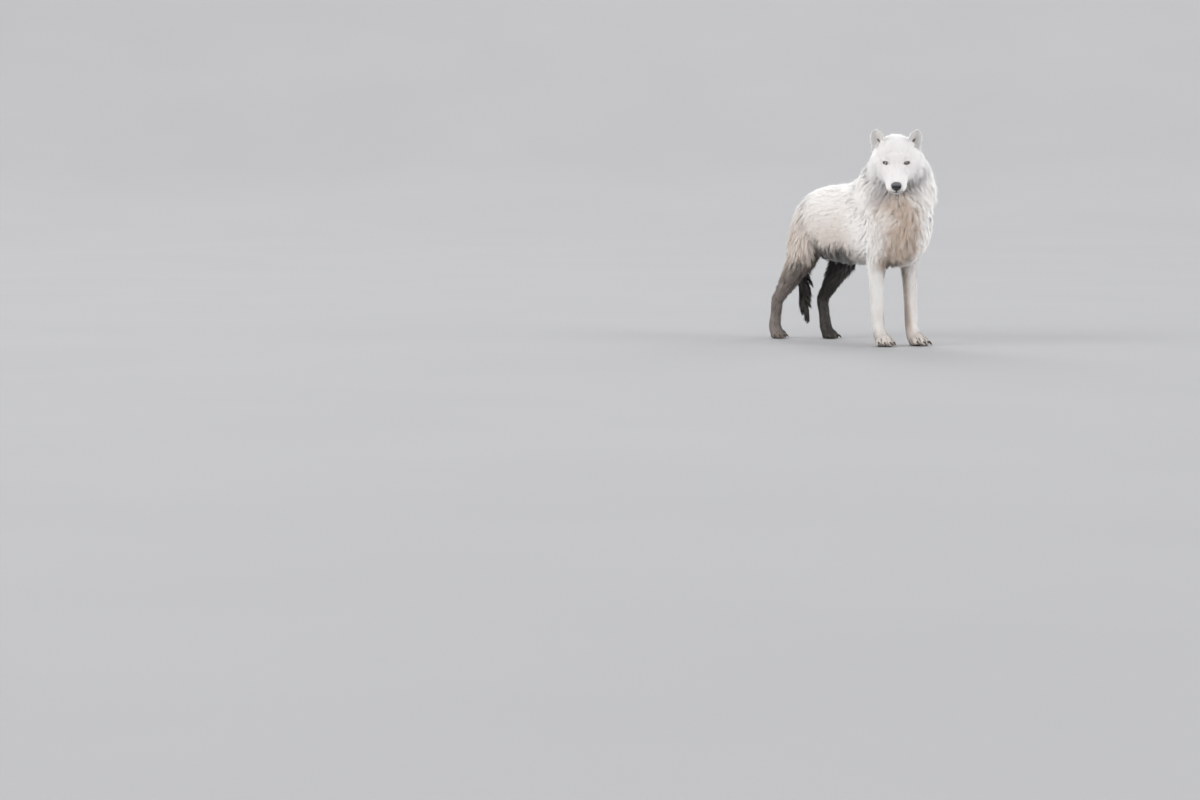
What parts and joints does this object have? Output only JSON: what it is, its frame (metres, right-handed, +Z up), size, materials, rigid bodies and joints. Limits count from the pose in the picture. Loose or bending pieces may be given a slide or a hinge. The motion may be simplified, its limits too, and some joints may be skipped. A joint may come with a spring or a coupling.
{
  "type": "arctic wolf",
  "caption": "Standing arctic wolf in a deep winter coat, head turned to its right, tail hanging between its muddy hind legs.",
  "frame": {"origin": "on the floor under the middle of the bounding box", "axes": "-Y the way the body faces, +X its left side, +Z up"},
  "size_m": [0.3668, 0.9536, 0.923],
  "materials": {
    "white_fur": "clean white guard hair, dry and soft",
    "cream_fur": "cream to tan guard hair, dusted with dry mud low down",
    "muddy_fur": "wet, mud-soaked hair in dark clumps",
    "nose": "black pebbled leather with a moist shine",
    "eyes": "wet cornea over a pale yellow-grey iris",
    "claws": "dark worn horn"
  },
  "bodies": {
    "root": {"claw_front_left_1": "claws", "claw_front_left_2": "claws", "claw_front_left_3": "claws", "claw_front_left_4": "claws", "claw_front_right_1": "claws", "claw_front_right_2": "claws", "claw_front_right_3": "claws", "claw_front_right_4": "claws", "claw_hind_left_1": "claws", "claw_hind_left_2": "claws", "claw_hind_left_3": "claws", "claw_hind_left_4": "claws", "claw_hind_right_1": "claws", "claw_hind_right_2": "claws", "claw_hind_right_3": "claws", "claw_hind_right_4": "claws", "ear_left": "white_fur", "ear_right": "white_fur", "eye_left": "eyes", "eye_right": "eyes", "forefoot_left": "white_fur", "forefoot_right": "white_fur", "foreleg_left": "white_fur", "foreleg_right": "white_fur", "head": "white_fur", "hind_foot_left": "muddy_fur", "hind_foot_right": "muddy_fur", "metatarsus_left": "muddy_fur", "metatarsus_right": "muddy_fur", "neck": "white_fur", "nose": "nose", "shank_left": "muddy_fur", "shank_right": "muddy_fur", "tail": "muddy_fur", "thigh_left": "cream_fur", "thigh_right": "cream_fur", "trunk": "cream_fur"}
  },
  "joints": []
}
